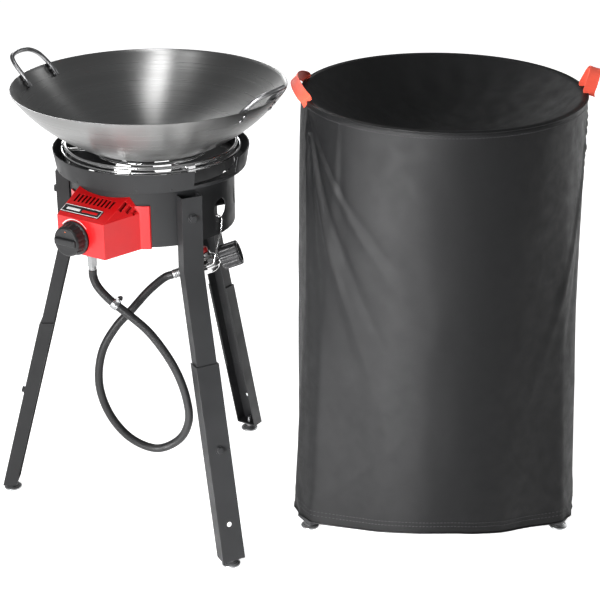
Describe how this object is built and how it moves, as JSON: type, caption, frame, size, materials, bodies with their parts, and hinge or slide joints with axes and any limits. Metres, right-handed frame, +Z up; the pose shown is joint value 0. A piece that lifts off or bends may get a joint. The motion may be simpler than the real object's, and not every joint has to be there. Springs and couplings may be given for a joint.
{
  "type": "turkey fryer kit",
  "caption": "Outdoor gas wok and fryer burner on a splayed three-leg stand with wok, control box, hose and regulator, beside the same cooker under its fitted fabric cover.",
  "frame": {"origin": "on the ground, at the centre of the outline of both cookers", "axes": "+X from the open cooker towards the covered one, +Y away from the control box's side, +Z up"},
  "size_m": [1.0372, 0.5388, 0.798],
  "materials": {
    "black_paint": "satin black powder coat",
    "cast_iron": "rough cast, blackened",
    "wok_steel": "spun and brushed carbon steel",
    "chrome": "bright plated wire",
    "zinc": "dull zinc plate",
    "red_paint": "semi-gloss red enamel",
    "black_plastic": "moulded, lightly textured",
    "ceramic": "glazed ceramic insulator",
    "brass": "machined, slightly dulled",
    "hose_rubber": "smooth black hose",
    "cover_cloth": "coated polyester, soft sheen",
    "webbing": "woven orange polyester webbing"
  },
  "bodies": {
    "stand": {"upper_leg_left": "black_paint", "drum_bolt_left": "black_paint", "upper_leg_front": "black_paint", "drum_bolt_front": "black_paint", "upper_leg_back": "black_paint", "drum_bolt_back": "black_paint", "burner_drum": "black_paint", "wind_collar": "black_paint", "burner_head": "cast_iron", "burner_strap": "black_paint", "pot_ring": "chrome", "control_box": "red_paint", "box_badge": "black_plastic", "gas_pipe": "brass", "gas_valve": "brass", "igniter_electrode": "ceramic", "hose_fitting": "zinc", "gas_hose": "hose_rubber", "hose_clamp": "zinc", "hose_ferrule": "zinc", "regulator_body": "chrome", "regulator_cap": "red_paint", "regulator_hook": "chrome", "covered_upper_leg_left": "black_paint", "covered_lower_leg_left": "black_paint", "covered_foot_left": "zinc", "covered_upper_leg_right": "black_paint", "covered_lower_leg_right": "black_paint", "covered_foot_right": "zinc", "covered_upper_leg_back": "black_paint", "covered_lower_leg_back": "black_paint", "covered_foot_back": "zinc", "covered_drum": "black_paint", "covered_pot_ring": "chrome", "covered_wok": "wok_steel"},
    "lower_leg_left": {"lower_leg_left": "black_paint", "leg_bolt_left": "black_paint"},
    "foot_left": {"foot_left": "zinc"},
    "lower_leg_front": {"lower_leg_front": "black_paint", "leg_bolt_front": "black_paint"},
    "foot_front": {"foot_front": "zinc"},
    "lower_leg_back": {"lower_leg_back": "black_paint", "leg_bolt_back": "black_paint"},
    "foot_back": {"foot_back": "zinc"},
    "control_knob": {"control_knob": "black_plastic"},
    "tank_nut": {"tank_nut": "black_plastic"},
    "wok": {"wok": "wok_steel", "wok_handle_left": "wok_steel", "wok_handle_right": "wok_steel"},
    "cover": {"cover": "cover_cloth", "cover_loop_left": "webbing", "cover_loop_right": "webbing"}
  },
  "joints": [
    {"name": "leg_left_height", "type": "slide", "parent": "stand", "child": "lower_leg_left", "axis": [0.2608, -0.0091, 0.9654], "range_m": [0, 0.12]},
    {"name": "foot_left_turn", "type": "hinge", "parent": "lower_leg_left", "child": "foot_left", "pos_m": [-0.50183, 0.00977, 0], "axis": [0, 0, 1], "range_deg": [-180, 180]},
    {"name": "leg_front_height", "type": "slide", "parent": "stand", "child": "lower_leg_front", "axis": [-0.1225, 0.2304, 0.9654], "range_m": [0, 0.12]},
    {"name": "foot_front_turn", "type": "hinge", "parent": "lower_leg_front", "child": "foot_front", "pos_m": [-0.09055, -0.24723, 0], "axis": [0, 0, 1], "range_deg": [-180, 180]},
    {"name": "leg_back_height", "type": "slide", "parent": "stand", "child": "lower_leg_back", "axis": [-0.1383, -0.2213, 0.9654], "range_m": [0, 0.12]},
    {"name": "foot_back_turn", "type": "hinge", "parent": "lower_leg_back", "child": "foot_back", "pos_m": [-0.07362, 0.23745, 0], "axis": [0, 0, 1], "range_deg": [-180, 180]},
    {"name": "gas_knob", "type": "hinge", "parent": "stand", "child": "control_knob", "pos_m": [-0.33498, -0.15816, 0.557], "axis": [-0.5299, -0.848, 0], "range_deg": [0, 230]},
    {"name": "tank_nut_turn", "type": "hinge", "parent": "stand", "child": "tank_nut", "pos_m": [-0.08947, -0.082, 0.49702], "axis": [0.9397, 0, 0.342], "continuous": true},
    {"name": "wok_lift", "type": "slide", "parent": "stand", "child": "wok", "axis": [0, 0, 1], "range_m": [0, 0.25]},
    {"name": "cover_lift", "type": "slide", "parent": "stand", "child": "cover", "axis": [0, 0, 1], "range_m": [0, 0.75]}
  ]
}
